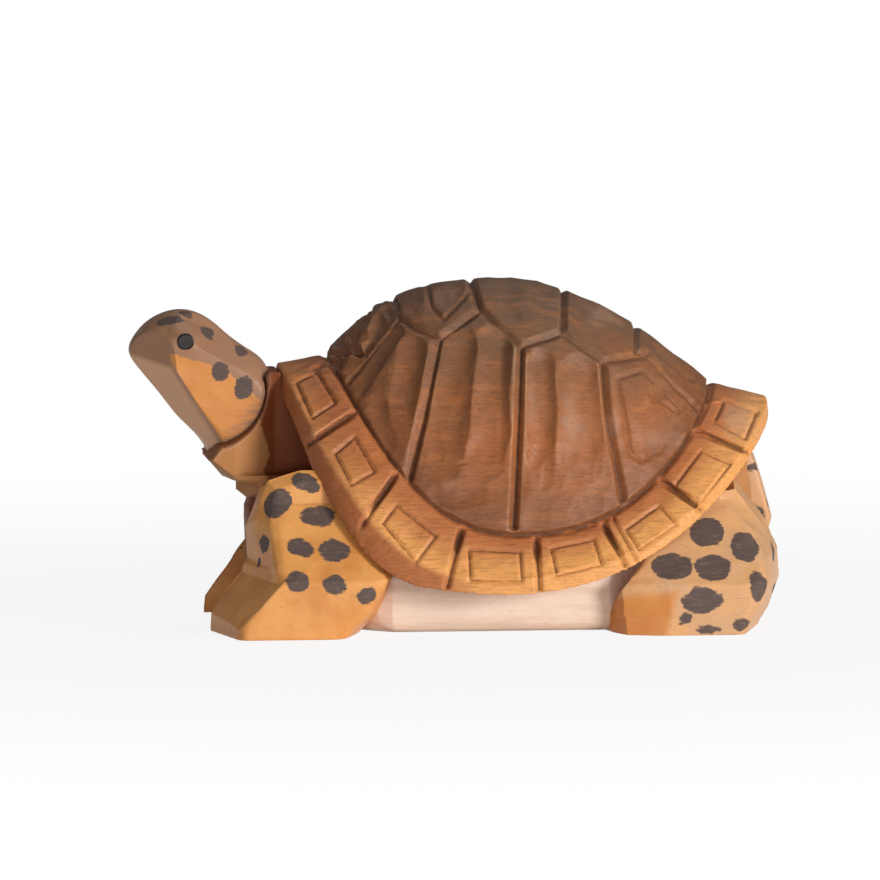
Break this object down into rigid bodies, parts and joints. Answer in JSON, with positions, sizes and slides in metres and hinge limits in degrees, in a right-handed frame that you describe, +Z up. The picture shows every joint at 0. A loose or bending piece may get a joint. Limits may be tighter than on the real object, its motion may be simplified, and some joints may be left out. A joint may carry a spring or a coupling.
{
  "type": "turtle figurine",
  "caption": "Small carved wooden tortoise with a domed scute shell, flared rim plates, raised head, stout spotted legs and a flat base to stand on.",
  "frame": {"origin": "middle of the footprint on the surface that the figurine stands on", "axes": "+Z up, head towards -X, the animal's left side towards -Y"},
  "size_m": [0.0898, 0.0542, 0.0478],
  "materials": {
    "shell_wood": "stained brown, satin varnish",
    "skin_wood": "honey stain with dark painted spots, satin",
    "pale_wood": "pale wash, matte",
    "eye_bead": "black lacquer, gloss",
    "dowel_wood": "plain, unfinished"
  },
  "bodies": {
    "root": {"carapace": "shell_wood", "body": "pale_wood", "head_and_neck": "skin_wood", "left_eye": "eye_bead", "right_eye": "eye_bead", "left_front_leg": "skin_wood", "right_front_leg": "skin_wood", "left_rear_leg": "skin_wood", "right_rear_leg": "skin_wood", "tail": "skin_wood", "neck_dowel": "dowel_wood", "leg_dowels": "dowel_wood", "shell_dowels": "dowel_wood"}
  },
  "joints": []
}
